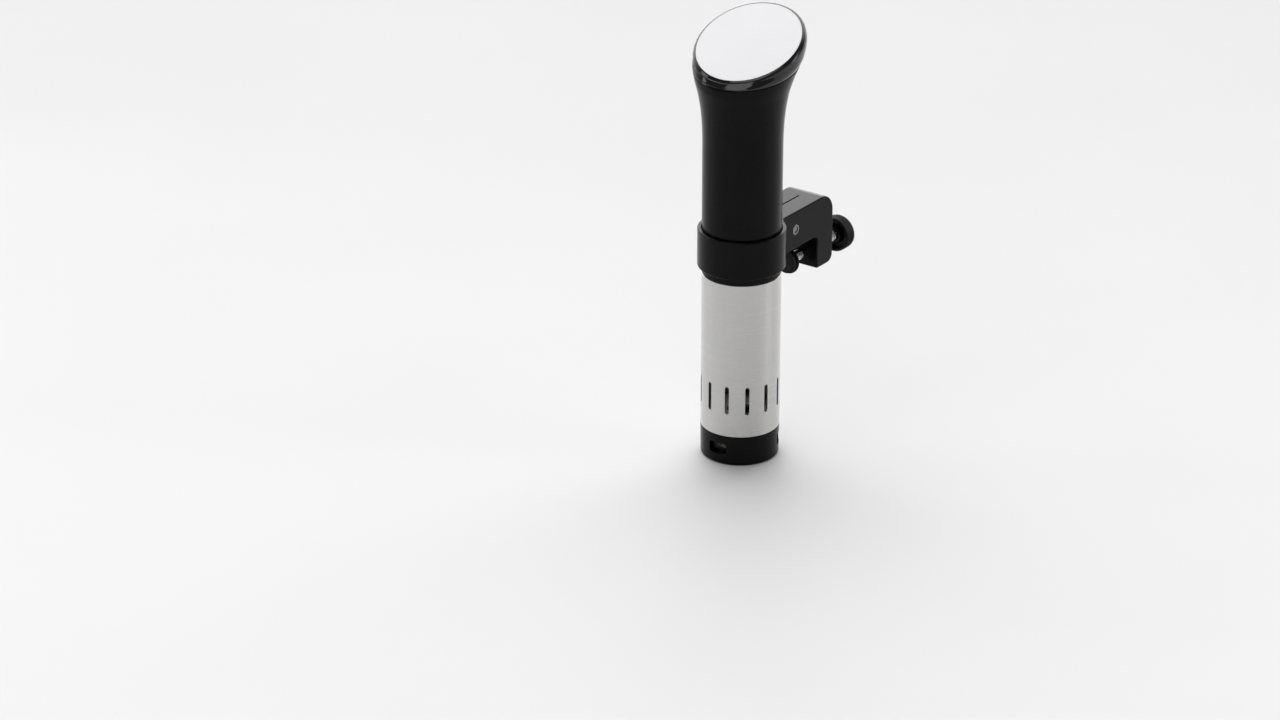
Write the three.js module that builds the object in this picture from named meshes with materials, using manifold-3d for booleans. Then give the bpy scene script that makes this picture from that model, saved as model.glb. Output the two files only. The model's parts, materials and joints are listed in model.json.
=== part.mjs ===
// A sous vide immersion circulator with its pot clamp.
// Millimetres, +Z up. The origin is the centre of the flat foot, on the drive axis. The clamp arm runs along
// +Y and the display slopes down towards -Y.
import * as THREE from "three";
import { mergeVertices } from "three/addons/utils/BufferGeometryUtils.js";
import Module from "manifold-3d";

const wasm = await Module();
wasm.setup();

// Driving dimensions
const BODY_R = 28; // outside of the steel skirt and of the straight part of the housing
const GAP = 0.3; // free gap between pieces that touch on the real object
const ROUND = 30; // facets round a large circle
const FINE = 12; // facets round a small circle

// Wet end
const CAP_TOP = 22;
const CAP_FLOOR = 4;
const CAP_INNER_R = 25.3;
const NECK_R = 26.8;
const NECK_INNER_R = 24.2;
const NECK_TOP = 29;
const LUG_Z = 25.6;
const LUG_R = 1.2;
const LUGS = 3;
const CAP_TURN = 25; // degrees from locked to free
const SKIRT_TOP = 138;
const SKIRT_WALL = 0.8;
const SKIRT_SLOTS = 12;
const SHAFT_R = 2.5;
const HEATER_R = 2.6;
const HEATER_COIL_R = 15;
const HEATER_RETURN_R = 9.5;
const HEATER_PITCH = 14;
const HEATER_TURNS = 2.5;
const HEATER_TOP = 114;
const TERMINAL_TOP = 147;
const PROBE_ORBIT_R = 21;
const PROBE_R = 2;
const ELECTRODE_R = 1.5;

// Bulkhead between the wet end and the dry end
const BULKHEAD_BOTTOM = 132;
const SEAL_R = 5.2;
const O_RING_R = 0.7;
const COLUMN_ORBIT_R = 20.4;
const COLUMN_R = 3;
const COLUMN_ANGLES = [30, 150, 270];
const PLATE_Z = 166.3;
const PLATE_T = 1.6;

// Motor
const MOTOR_R = 18;
const MOTOR_WALL = 1.3;
const MOTOR_SCREW_Y = [-10, 10];
const MOTOR_BOTTOM = 168.3;
const MOTOR_TOP = 208;
const END_CAP_TOP = 213;
const BUSH_R = 4.4;
const FAN_R = 21;
const FAN_Z = 217;

// Housing and head. A head ring is { z: height on the drive axis, r: radius, slope: rise along +Y,
// shift: centre along +Y }.
const HOUSING_WALL = 2.2;
const RING_TOP = 171.4; // top of the clamp ring, where the clamp is set
const FLARE_START = RING_TOP + 58;
const FLARE_LENGTH = 51;
const FLARE_GAIN = 5.8;
const FLARE_POWER = 2.6;
const NECKLINE = { z: RING_TOP + 110, r: 34.4, slope: 0.09, shift: 1.3 };
const PARTING = { z: RING_TOP + 117.8, r: 37.2, slope: 0.18, shift: 3.6 };
const SHOULDER_LOW = { z: RING_TOP + 121.9, r: 39, slope: 0.27, shift: 5.7 };
const LIP = { z: RING_TOP + 126.3, r: 39.7, slope: 0.36, shift: 7.3 };
const SHOULDER_HIGH = { z: RING_TOP + 129.5, r: 39.9, slope: 0.47, shift: 6.9 };
const FACE = { z: RING_TOP + 131.9, r: 38.3, slope: 0.514, shift: 5.75 };
const LENS_R = 37.4;
const LENS_T = 2.2;
const GASKET_T = 0.8;
const WINDOW_R = 34;
const BOARD_T = 1.6;
const BOARD_Y = -6;
const BOARD_HALF = 20.4;
const BOARD_Z = [232, 280];
const GLAND_Z = 262;

// Clamp, measured down from the ring's top
const RING_OUTER_R = 31.1;
const RING_BORE_R = 29.1;
const RING_LIP_R = 28.35;
const RING_LIP_T = 1;
const RING_H = 28;
const LINER_R = [28.3, 28.8];
const ARM_HALF = 15.35;
const ARM_FILLET_R = 6;
const LEG_INNER_Y = 72.4;
const LEG_OUTER_Y = 92.1;
const LEG_DROP = 53;
const ARM_CORNER_R = 14;
const LEG_TOE_R = 6;
const THROAT_R = 3;
const SLIT_W = 1.3;
const SLIT_END_Y = 71;
const PINCH_Y = 45.5;
const PINCH_Z = RING_TOP - 14;
const PINCH_R = 2;
const NUT_FLATS = 7.3;
const SCREW_Z = RING_TOP - 45.5;
const SCREW_R = 4;
const PAD_FRONT_Y = 54.6;
const PAD_BACK_Y = PAD_FRONT_Y + 6.4;
const PAD_R = 9;
const KNOB_Y = [116, 126];
const KNOB_R = 12.8;
const KNOB_FLUTES = 24;

const radians = THREE.MathUtils.degToRad;
const faceTilt = Math.atan(FACE.slope);

// Booleans on three.js geometry
function solid(geometry) {
  const plain = geometry.clone();
  plain.deleteAttribute("normal");
  plain.deleteAttribute("uv");
  const merged = mergeVertices(plain, 1e-4);
  return new wasm.Manifold(
    new wasm.Mesh({
      numProp: 3,
      vertProperties: merged.attributes.position.array,
      triVerts: new Uint32Array(merged.index.array),
    }),
  );
}

function geometryOf(manifold) {
  const mesh = manifold.getMesh();
  const geometry = new THREE.BufferGeometry();
  geometry.setAttribute("position", new THREE.BufferAttribute(mesh.vertProperties, 3));
  geometry.setIndex(new THREE.BufferAttribute(mesh.triVerts, 1));
  return geometry;
}

function join(first, ...others) {
  return geometryOf(others.reduce((sum, other) => sum.add(solid(other)), solid(first)));
}

function cut(first, ...others) {
  return geometryOf(others.reduce((rest, other) => rest.subtract(solid(other)), solid(first)));
}

function overlapOf(first, second) {
  return geometryOf(solid(first).intersect(solid(second)));
}

// Basic shapes
function lathe(profile, segments = ROUND) {
  const points = profile.map(([r, z]) => new THREE.Vector2(r, z));
  return new THREE.LatheGeometry(points, segments).rotateX(Math.PI / 2);
}

function disc(r, low, high, segments = ROUND) {
  return lathe([[0, low], [r, low], [r, high], [0, high]], segments);
}

function tube(inner, outer, low, high, segments = ROUND) {
  return lathe([[inner, low], [outer, low], [outer, high], [inner, high], [inner, low]], segments);
}

function box([x0, x1], [y0, y1], [z0, z1]) {
  const shape = new THREE.BoxGeometry(x1 - x0, y1 - y0, z1 - z0);
  return shape.translate((x0 + x1) / 2, (y0 + y1) / 2, (z0 + z1) / 2);
}

function alongY(geometry, z) {
  return geometry.rotateX(-Math.PI / 2).translate(0, 0, z);
}

function alongX(geometry, y, z) {
  return geometry.rotateY(Math.PI / 2).translate(0, y, z);
}

function onOrbit(geometry, r, degrees) {
  const angle = radians(degrees);
  return geometry.translate(r * Math.cos(angle), r * Math.sin(angle), 0);
}

function hexagon(flats, low, high) {
  return disc(flats / Math.sqrt(3), low, high, 6);
}

function extrude(shape, depth, curveSegments = 12) {
  return new THREE.ExtrudeGeometry(shape, { depth, curveSegments, bevelEnabled: false });
}

// A solid lofted through tilted rings: each lathe ring takes its own slope and shift.
function loftedSolid(rings) {
  const bottom = rings[0];
  const top = rings[rings.length - 1];
  const stations = [{ ...bottom, r: 0 }, ...rings, { ...top, r: 0 }];
  const geometry = lathe(stations.map(({ r, z }) => [r, z]));
  const position = geometry.attributes.position;
  for (let i = 0; i < position.count; i++) {
    const { z, slope, shift } = stations[i % stations.length];
    const y = shift + position.getY(i) * Math.cos(Math.atan(slope));
    position.setY(i, y);
    position.setZ(i, z + slope * y);
  }
  return geometry;
}

function upright(z, r) {
  return { z, r, slope: 0, shift: 0 };
}

function thinned(ring, wall) {
  return { ...ring, r: ring.r - wall };
}

function lifted(ring, rise) {
  return { ...ring, z: ring.z + rise };
}

function flareRings() {
  const heights = [0, 14, 24, 32, 39, 45];
  return heights.map((h) =>
    upright(FLARE_START + h, BODY_R + FLARE_GAIN * (h / FLARE_LENGTH) ** FLARE_POWER),
  );
}

// Wet end
function bottomCap() {
  const wall = lathe([
    [0, 0],
    [BODY_R - 1.5, 0],
    [BODY_R, 1.5],
    [BODY_R, CAP_TOP],
    [NECK_R, CAP_TOP],
    [NECK_R, NECK_TOP],
    [NECK_INNER_R, NECK_TOP],
    [NECK_INNER_R, CAP_TOP - 2],
    [CAP_INNER_R, CAP_TOP - 4],
    [CAP_INNER_R, CAP_FLOOR],
    [0, CAP_FLOOR],
  ]);
  const outlets = [-90, 30, 150].map((degrees) =>
    box([20, 30], [-7, 7], [7.5, 16]).rotateZ(radians(degrees)),
  );
  const drains = [0, 60, 120, 180, 240, 300].map((degrees) =>
    onOrbit(disc(1.6, -1, CAP_FLOOR + 1, 12), 18, degrees),
  );
  return cut(wall, ...outlets, ...drains, ...bayonetSlots());
}

// L-shaped slots in the cap's neck: up from the lug's locked place, round by CAP_TURN and out at the top.
function bayonetSlots() {
  const clearance = LUG_R + 0.4;
  const step = 5;
  const slots = [];
  for (let lug = 0; lug < LUGS; lug++) {
    for (let turn = 0; turn <= CAP_TURN; turn += step) {
      const top = turn === CAP_TURN ? NECK_TOP + 1 : LUG_Z + clearance;
      const slot = box([22, 28], [-clearance, clearance], [LUG_Z - clearance, top]);
      slots.push(slot.rotateZ(radians((360 / LUGS) * lug - turn)));
    }
  }
  return slots;
}

function steelSkirt() {
  const shell = tube(BODY_R - SKIRT_WALL, BODY_R, CAP_TOP + GAP, SKIRT_TOP);
  const lugs = [];
  for (let lug = 0; lug < LUGS; lug++) {
    const peg = disc(LUG_R, 25, BODY_R - 0.4, 10).rotateY(Math.PI / 2).translate(0, 0, LUG_Z);
    lugs.push(peg.rotateZ(radians((360 / LUGS) * lug)));
  }
  return cut(join(shell, ...lugs), ...skirtSlots());
}

function skirtSlots() {
  const half = 1.5;
  const shape = new THREE.Shape();
  shape.absarc(0, 41, half, Math.PI, 2 * Math.PI, false);
  shape.absarc(0, 59, half, 0, Math.PI, false);
  const slots = [];
  for (let i = 0; i < SKIRT_SLOTS; i++) {
    const slot = extrude(shape, 6, 3).rotateX(Math.PI / 2).translate(0, -25, 0);
    slots.push(slot.rotateZ(radians((360 / SKIRT_SLOTS) * (i + 0.5))));
  }
  return slots;
}

function pumpCover() {
  const plate = tube(9, BODY_R - SKIRT_WALL - GAP, NECK_TOP + 1, NECK_TOP + 3);
  const boss = tube(BUSH_R + GAP, 7, 62, 70, FINE);
  const ring = tube(23, BODY_R - SKIRT_WALL - GAP, 62, 66);
  const legs = [0, 120, 240].flatMap((degrees) => [
    box([24, 26.5], [-1.5, 1.5], [NECK_TOP + 2, 64]).rotateZ(radians(degrees)),
    box([6, 24], [-1.2, 1.2], [62.5, 66]).rotateZ(radians(degrees)),
  ]);
  return join(plate, ring, boss, ...legs);
}

function heaterCoil() {
  const points = [
    new THREE.Vector3(HEATER_COIL_R, 0, TERMINAL_TOP),
    new THREE.Vector3(HEATER_COIL_R, 0, SKIRT_TOP),
    new THREE.Vector3(HEATER_COIL_R, 0, BULKHEAD_BOTTOM),
    new THREE.Vector3(HEATER_COIL_R, 0, HEATER_TOP + 10),
  ];
  const stepsPerTurn = 14;
  for (let i = 1; i <= HEATER_TURNS * stepsPerTurn; i++) {
    const turn = i / stepsPerTurn;
    const angle = 2 * Math.PI * turn;
    const z = HEATER_TOP - HEATER_PITCH * (turn - 0.5 / stepsPerTurn);
    points.push(new THREE.Vector3(HEATER_COIL_R * Math.cos(angle), HEATER_COIL_R * Math.sin(angle), z));
  }
  const end = points[points.length - 1];
  points.push(
    new THREE.Vector3(-HEATER_COIL_R + 1, -2, end.z - 2.6),
    new THREE.Vector3(-HEATER_COIL_R + 3, -2, end.z - 2.6),
    new THREE.Vector3(-HEATER_RETURN_R, -0.6, end.z + 2),
    new THREE.Vector3(-HEATER_RETURN_R, 0, end.z + 10),
    new THREE.Vector3(-HEATER_RETURN_R, 0, HEATER_TOP - 15),
    new THREE.Vector3(-HEATER_RETURN_R, 0, HEATER_TOP + 4),
    new THREE.Vector3(-HEATER_RETURN_R, 0, BULKHEAD_BOTTOM),
    new THREE.Vector3(-HEATER_RETURN_R, 0, TERMINAL_TOP),
  );
  const section = new THREE.Shape();
  section.absarc(0, 0, HEATER_R, 0, 2 * Math.PI, false);
  const extrudePath = new THREE.CatmullRomCurve3(points, false, "centripetal");
  return new THREE.ExtrudeGeometry(section, { steps: 64, curveSegments: 4, extrudePath, bevelEnabled: false });
}

function rod(r, low, high, x, y) {
  return disc(r, low, high, 12).translate(x, y, 0);
}

// Bulkhead and seals
function bulkhead() {
  const plug = lathe([
    [0, BULKHEAD_BOTTOM],
    [23.4, BULKHEAD_BOTTOM],
    [23.4, 118],
    [26.8, 118],
    [26.8, 124],
    [25.0, 124],
    [25.0, 126.4],
    [26.8, 126.4],
    [26.8, SKIRT_TOP + GAP],
    [25.4, SKIRT_TOP + GAP],
    [25.4, 143],
    [23.8, 143],
    [23.8, 145.4],
    [25.4, 145.4],
    [25.4, 149],
    [22.2, 149],
    [22.2, SKIRT_TOP],
    [0, SKIRT_TOP],
  ]);
  const columns = COLUMN_ANGLES.map((degrees) =>
    onOrbit(disc(COLUMN_R, SKIRT_TOP - 1, PLATE_Z - GAP, FINE), COLUMN_ORBIT_R, degrees),
  );
  const screwHoles = COLUMN_ANGLES.map((degrees) =>
    onOrbit(disc(1.5, 156, 170, 12), COLUMN_ORBIT_R, degrees),
  );
  const sealBore = disc(SEAL_R + GAP, 110, 150, FINE);
  const heaterHoles = [
    rod(HEATER_R + GAP, 110, 150, HEATER_COIL_R, 0),
    rod(HEATER_R + GAP, 110, 150, -HEATER_RETURN_R, 0),
  ];
  const probeHoles = [
    rod(PROBE_R + GAP, 110, 150, 0, PROBE_ORBIT_R),
    rod(ELECTRODE_R + GAP, 110, 150, -18, 7),
    rod(ELECTRODE_R + GAP, 110, 150, -18, -7),
  ];
  return cut(join(plug, ...columns), ...screwHoles, sealBore, ...heaterHoles, ...probeHoles);
}

function oRing(r, z) {
  return new THREE.TorusGeometry(r, O_RING_R, 5, 30).translate(0, 0, z);
}

function shaftSeal() {
  return lathe(
    [
      [SHAFT_R + GAP, 130],
      [3.6, 130],
      [4.2, 131.5],
      [SEAL_R, 131.5],
      [SEAL_R, 138.5],
      [SHAFT_R + GAP, 138.5],
      [SHAFT_R + GAP, 130],
    ],
    FINE,
  );
}

// Motor
function motorPlate() {
  const plate = disc(24.6, PLATE_Z, PLATE_Z + PLATE_T, ROUND);
  const holes = COLUMN_ANGLES.map((degrees) => onOrbit(disc(1.6, 160, 172, 12), COLUMN_ORBIT_R, degrees));
  const motorHoles = MOTOR_SCREW_Y.map((y) => rod(1.6, 160, 172, 0, y));
  const leadNotches = [0, 180].map((degrees) => box([20, 26], [-5, 5], [160, 172]).rotateZ(radians(degrees)));
  return cut(plate, disc(6, 160, 172, FINE), ...holes, ...motorHoles, ...leadNotches);
}

function panScrew(headR, shankR, headFrom, headTo, shankTo) {
  const head = disc(headR, Math.min(headFrom, headTo), Math.max(headFrom, headTo), 16);
  const shank = disc(shankR, Math.min(headFrom, shankTo), Math.max(headFrom, shankTo), 10);
  return join(head, shank);
}

function motorCan() {
  const shell = lathe([
    [BUSH_R + GAP, MOTOR_BOTTOM],
    [MOTOR_R - 1, MOTOR_BOTTOM],
    [MOTOR_R, MOTOR_BOTTOM + 1],
    [MOTOR_R, MOTOR_TOP],
    [MOTOR_R - MOTOR_WALL, MOTOR_TOP],
    [MOTOR_R - MOTOR_WALL, MOTOR_BOTTOM + 3],
    [BUSH_R + GAP, MOTOR_BOTTOM + 3],
    [BUSH_R + GAP, MOTOR_BOTTOM],
  ]);
  return cut(shell, ...MOTOR_SCREW_Y.map((y) => rod(1.5, 160, 175, 0, y)));
}

function motorEndCap() {
  const cover = lathe([
    [BUSH_R + GAP, MOTOR_TOP - 4],
    [MOTOR_R - MOTOR_WALL - GAP, MOTOR_TOP - 4],
    [MOTOR_R - MOTOR_WALL - GAP, MOTOR_TOP + GAP],
    [MOTOR_R, MOTOR_TOP + GAP],
    [MOTOR_R - 1, MOTOR_TOP + 2.5],
    [9, MOTOR_TOP + 2.5],
    [8, END_CAP_TOP],
    [BUSH_R + GAP, END_CAP_TOP],
    [BUSH_R + GAP, MOTOR_TOP - 4],
  ]);
  const tabs = [-12, 12].map((x) => box([x - 1.5, x + 1.5], [-0.4, 0.4], [MOTOR_TOP + 1, END_CAP_TOP]));
  return join(cover, ...tabs);
}

function magnetRing() {
  return tube(12.2, MOTOR_R - MOTOR_WALL - GAP, MOTOR_BOTTOM + 6, MOTOR_TOP - 5);
}

function bush(low, high) {
  return tube(SHAFT_R + GAP, BUSH_R, low, high, FINE);
}

// Rotor
function armature() {
  const core = tube(SHAFT_R + GAP, 11.4, MOTOR_BOTTOM + 9, MOTOR_TOP - 12, ROUND);
  const slots = [];
  for (let i = 0; i < 8; i++) {
    slots.push(box([7, 12], [-0.9, 0.9], [160, 215]).rotateZ(radians(45 * i)));
  }
  const commutator = tube(SHAFT_R + GAP, 5.5, MOTOR_TOP - 13, MOTOR_TOP - 5, FINE);
  return join(cut(core, ...slots), commutator);
}

function coolingFan() {
  const hub = tube(SHAFT_R + GAP, 6, FAN_Z, FAN_Z + 8, FINE);
  const blades = [];
  for (let i = 0; i < 7; i++) {
    const blade = new THREE.BoxGeometry(FAN_R - 5, 9, 1.2).rotateX(radians(35));
    blades.push(blade.translate((FAN_R + 5) / 2, 0, FAN_Z + 4).rotateZ((2 * Math.PI * i) / 7));
  }
  return join(hub, ...blades);
}

function shaftCoupling() {
  const sleeve = tube(SHAFT_R + GAP, 6, 150, 165, FINE);
  const screwHoles = [153.5, 161.5].map((z) => alongX(disc(1.3, 0, 8, 10), 0, z));
  return cut(sleeve, ...screwHoles);
}

function impeller() {
  const hub = tube(SHAFT_R + GAP, 5.5, 9, 24, FINE);
  const base = tube(4, 20, 9, 11);
  const arcR = 11;
  const half = 0.7;
  const from = Math.PI - radians(24);
  const to = Math.PI - radians(128);
  const shape = new THREE.Shape();
  shape.absarc(arcR, 0, arcR + half, from, to, true);
  shape.absarc(arcR, 0, arcR - half, to, from, false);
  const blades = [];
  for (let i = 0; i < 6; i++) {
    blades.push(extrude(shape, 11, 6).translate(0, 0, 10).rotateZ((Math.PI * i) / 3));
  }
  return join(hub, base, ...blades);
}

// Housing and head
function upperHousing() {
  const outer = [
    upright(SKIRT_TOP + GAP, BODY_R),
    ...flareRings(),
    NECKLINE,
    lifted(PARTING, -GAP / 2),
  ];
  const inner = [
    upright(SKIRT_TOP - 1, BODY_R - HOUSING_WALL),
    ...flareRings().map((ring) => thinned(ring, HOUSING_WALL)),
    thinned(NECKLINE, HOUSING_WALL),
    thinned(lifted(PARTING, 1), HOUSING_WALL),
  ];
  const shell = cut(loftedSolid(outer), loftedSolid(inner));
  const rails = [-1, 1].map((side) => {
    const reach = [side * 18.4, side * 26.6].sort((a, b) => a - b);
    const rail = box(reach, [BOARD_Y - 2.6, BOARD_Y + 2.6], [BOARD_Z[0] - 1, GLAND_Z]);
    return overlapOf(rail, loftedSolid(outer));
  });
  const railSlot = box([-21, 21], [BOARD_Y - 1.2, BOARD_Y + 1.2], [BOARD_Z[0] - 2, 290]);
  const glandBore = alongY(disc(4.9, 20, 40, FINE), GLAND_Z);
  const glandSeat = alongY(disc(6.9, 28.6, 40, FINE), GLAND_Z);
  return cut(join(shell, ...rails), railSlot, glandBore, glandSeat);
}

function inFacePlane(geometry) {
  const centreZ = FACE.z + FACE.slope * FACE.shift;
  return geometry.rotateX(faceTilt).translate(0, FACE.shift, centreZ);
}

function headBezel() {
  const wall = 2.4;
  const rings = [lifted(PARTING, GAP / 2), SHOULDER_LOW, LIP, SHOULDER_HIGH, FACE];
  const cavity = [lifted(PARTING, -1), SHOULDER_LOW, LIP].map((ring) => thinned(ring, wall));
  cavity.push({ ...thinned(FACE, 5.5), z: FACE.z - 7 });
  const window = inFacePlane(disc(WINDOW_R, -15, 5));
  const seat = inFacePlane(disc(LENS_R + GAP, -LENS_T - GASKET_T - 2 * GAP, 5));
  const spigot = spigotRing();
  return join(cut(loftedSolid(rings), loftedSolid(cavity), window, seat), spigot);
}

// The bezel's locating ring, which stands inside the housing's mouth.
function spigotRing() {
  const clear = HOUSING_WALL + GAP + 0.2;
  const outer = [thinned(NECKLINE, clear), thinned(lifted(PARTING, 1.5), clear)];
  const inner = outer.map((ring, i) => thinned(lifted(ring, i === 0 ? -0.5 : 0.5), 1.6));
  return cut(loftedSolid(outer), loftedSolid(inner));
}

function displayBoard() {
  const low = -LENS_T - 3 - 3 * GAP;
  return cut(disc(33, low - BOARD_T, low), rod(2, -20, 5, 28, 0), rod(2, -20, 5, -28, 0));
}

function ledModule() {
  const low = -LENS_T - 3 - 2 * GAP;
  const block = box([-19, 19], [-9, 9], [low, -LENS_T - GAP]);
  const digits = [-12.6, -4.2, 4.2, 12.6].map((x) => box([x - 3.4, x + 3.4], [-6, 6], [low + 1.8, 0]));
  return cut(block, ...digits);
}

function cordGland() {
  return alongY(
    lathe(
      [
        [3.2, 23.4],
        [6.6, 23.4],
        [6.6, 25.2],
        [4.6, 25.2],
        [4.6, 28.9],
        [6.6, 28.9],
        [6.6, 30.4],
        [5.6, 31.2],
        [3.2, 31.2],
        [3.2, 23.4],
      ],
      FINE,
    ),
    GLAND_Z,
  );
}

// Electronics on the upright power board
function powerBoard() {
  const plate = box([-BOARD_HALF, BOARD_HALF], [BOARD_Y - BOARD_T / 2, BOARD_Y + BOARD_T / 2], BOARD_Z);
  const notch = box([12, 21], [-10, 0], [272, 290]);
  return cut(plate, notch);
}

function transformer() {
  const front = BOARD_Y + BOARD_T / 2 + GAP;
  const core = box([-17, 3.5], [front + 2, front + 14], [236, 254]);
  const bobbin = box([-13.5, 0], [front, front + 17], [239, 251]);
  return join(core, bobbin);
}

function capacitor() {
  const profile = [[0, 233], [6.2, 233], [6.2, 249], [5.7, 249.8], [6.2, 250.6], [6.2, 254], [5.6, 254.6], [0, 254.6]];
  return lathe(profile, FINE).translate(11.5, BOARD_Y + BOARD_T / 2 + GAP + 6.5, 0);
}

function relay() {
  const front = BOARD_Y + BOARD_T / 2 + GAP;
  return join(box([-14, 2], [front, front + 13], [259, 275]), box([-13, 1], [front + 12, front + 14], [260, 274]));
}

function heatsink() {
  const back = BOARD_Y - BOARD_T / 2 - GAP;
  const base = box([-9, 9], [back - 2, back], [238, 264]);
  const fins = [-8.2, -4.1, 0, 4.1, 8.2].map((x) => box([x - 0.8, x + 0.8], [back - 10, back - 1], [238, 264]));
  return join(base, ...fins);
}

function terminalBlock() {
  const front = BOARD_Y + BOARD_T / 2 + GAP;
  const block = box([4.5, 17.9], [front, front + 9], [259, 268]);
  const mouths = [7.9, 14.5].map((x) => box([x - 2, x + 2], [front + 2, front + 7], [262, 270]));
  return cut(block, ...mouths);
}

// Clamp
function clampPlan() {
  const centreX = ARM_HALF + ARM_FILLET_R;
  const reach = RING_OUTER_R + ARM_FILLET_R;
  const centreY = Math.sqrt(reach ** 2 - centreX ** 2);
  const toRing = Math.atan2(centreY, centreX);
  const shape = new THREE.Shape();
  shape.moveTo(ARM_HALF, LEG_OUTER_Y + 1);
  shape.lineTo(-ARM_HALF, LEG_OUTER_Y + 1);
  shape.absarc(-centreX, centreY, ARM_FILLET_R, 0, -toRing, true);
  shape.absarc(0, 0, RING_OUTER_R, Math.PI - toRing, 2 * Math.PI + toRing, false);
  shape.absarc(centreX, centreY, ARM_FILLET_R, Math.PI + toRing, Math.PI, true);
  return extrude(shape, LEG_DROP + 2, ROUND / 2).translate(0, 0, RING_TOP - LEG_DROP - 1);
}

// The side view of ring, arm and leg, drawn with x along the arm and y up, then turned to run across X.
function clampSide() {
  const top = RING_TOP;
  const under = top - RING_H;
  const foot = top - LEG_DROP;
  const shape = new THREE.Shape();
  shape.moveTo(-40, under);
  shape.lineTo(LEG_INNER_Y - THROAT_R, under);
  shape.absarc(LEG_INNER_Y - THROAT_R, under - THROAT_R, THROAT_R, Math.PI / 2, 0, true);
  shape.lineTo(LEG_INNER_Y, foot + 1);
  shape.lineTo(LEG_INNER_Y + 1, foot);
  shape.absarc(LEG_OUTER_Y - LEG_TOE_R, foot + LEG_TOE_R, LEG_TOE_R, -Math.PI / 2, 0, false);
  shape.absarc(LEG_OUTER_Y - ARM_CORNER_R, top - ARM_CORNER_R, ARM_CORNER_R, 0, Math.PI / 2, false);
  shape.lineTo(-40, top);
  const across = extrude(shape, 80, 8).translate(0, 0, -40);
  return across.rotateX(Math.PI / 2).rotateZ(Math.PI / 2);
}

function clampBracket() {
  const body = overlapOf(clampPlan(), clampSide());
  const low = RING_TOP - RING_H;
  const bore = lathe([
    [0, low - 1],
    [RING_LIP_R, low - 1],
    [RING_LIP_R, low + RING_LIP_T],
    [RING_BORE_R, low + RING_LIP_T],
    [RING_BORE_R, RING_TOP - RING_LIP_T],
    [RING_LIP_R, RING_TOP - RING_LIP_T],
    [RING_LIP_R, RING_TOP + 1],
    [0, RING_TOP + 1],
  ]);
  const slit = box([-SLIT_W / 2, SLIT_W / 2], [20, SLIT_END_Y], [low - 1, RING_TOP + 1]);
  const pinchBore = alongX(disc(PINCH_R + GAP, -20, 20, 16), PINCH_Y, PINCH_Z);
  const nutPocket = alongX(hexagon(NUT_FLATS + 2 * GAP, 12.3, 20), PINCH_Y, PINCH_Z);
  const headPocket = alongX(disc(3.9, -20, -11.5, FINE), PINCH_Y, PINCH_Z);
  const screwBore = alongY(disc(SCREW_R + GAP, 60, 100, FINE), SCREW_Z);
  const insertBore = alongY(disc(6.8, 80, 100, FINE), SCREW_Z);
  return cut(body, bore, slit, pinchBore, nutPocket, headPocket, screwBore, insertBore);
}

function clampLiner() {
  const low = RING_TOP - RING_H + RING_LIP_T + GAP;
  const sleeve = tube(LINER_R[0], LINER_R[1], low, RING_TOP - RING_LIP_T - GAP);
  return cut(sleeve, box([-1, 1], [20, 35], [low - 1, RING_TOP]));
}

function pinchBolt() {
  const bolt = join(disc(3.5, -14.9, -11.8, FINE), disc(PINCH_R, -12, 14.6, 16));
  return alongX(cut(bolt, hexagon(3, -16, -13)), PINCH_Y, PINCH_Z);
}

function pinchNut() {
  return alongX(cut(hexagon(NUT_FLATS, 12.6, 15.1), disc(PINCH_R + GAP, 10, 20, 16)), PINCH_Y, PINCH_Z);
}

function threadInsert() {
  return alongY(tube(SCREW_R + GAP, 6.5, 80.3, LEG_OUTER_Y - 0.2, FINE), SCREW_Z);
}

function pressurePad() {
  const plate = lathe(
    [
      [0, PAD_FRONT_Y + 1.7],
      [PAD_R, PAD_FRONT_Y + 1.7],
      [PAD_R + 0.6, PAD_FRONT_Y + 2.4],
      [PAD_R + 0.6, PAD_FRONT_Y + 4],
      [6.5, PAD_BACK_Y],
      [3.2, PAD_BACK_Y],
      [3.2, PAD_FRONT_Y + 3.4],
      [0, PAD_FRONT_Y + 3.4],
    ],
    FINE,
  );
  return alongY(plate, SCREW_Z);
}

function padFacing() {
  const facing = disc(PAD_R - 0.4, PAD_FRONT_Y, PAD_FRONT_Y + 1.4, FINE);
  return alongY(facing, SCREW_Z);
}

function clampScrew() {
  const screw = lathe(
    [
      [0, PAD_FRONT_Y + 3.8],
      [2.8, PAD_FRONT_Y + 3.8],
      [2.8, PAD_BACK_Y + 0.6],
      [SCREW_R, PAD_BACK_Y + 1.8],
      [SCREW_R, KNOB_Y[0] + 6],
      [0, KNOB_Y[0] + 6],
    ],
    FINE,
  );
  return alongY(screw, SCREW_Z);
}

function clampKnob() {
  const shape = new THREE.Shape();
  const steps = KNOB_FLUTES * 3;
  for (let i = 0; i < steps; i++) {
    const angle = (2 * Math.PI * i) / steps;
    const r = KNOB_R - 0.35 * (1 - Math.cos(KNOB_FLUTES * angle));
    if (i === 0) shape.moveTo(r, 0);
    else shape.lineTo(r * Math.cos(angle), r * Math.sin(angle));
  }
  const rim = extrude(shape, KNOB_Y[1] - KNOB_Y[0]).translate(0, 0, KNOB_Y[0]);
  const recess = tube(6.5, 10.6, KNOB_Y[0] - 1, KNOB_Y[0] + 5, FINE);
  const bore = disc(SCREW_R + GAP, KNOB_Y[0] - 1, KNOB_Y[0] + 6.5, FINE);
  return alongY(cut(rim, recess, bore), SCREW_Z);
}

// Materials
function finish(color, roughness, metalness = 0) {
  return () => new THREE.MeshStandardMaterial({ color, roughness, metalness });
}

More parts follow.
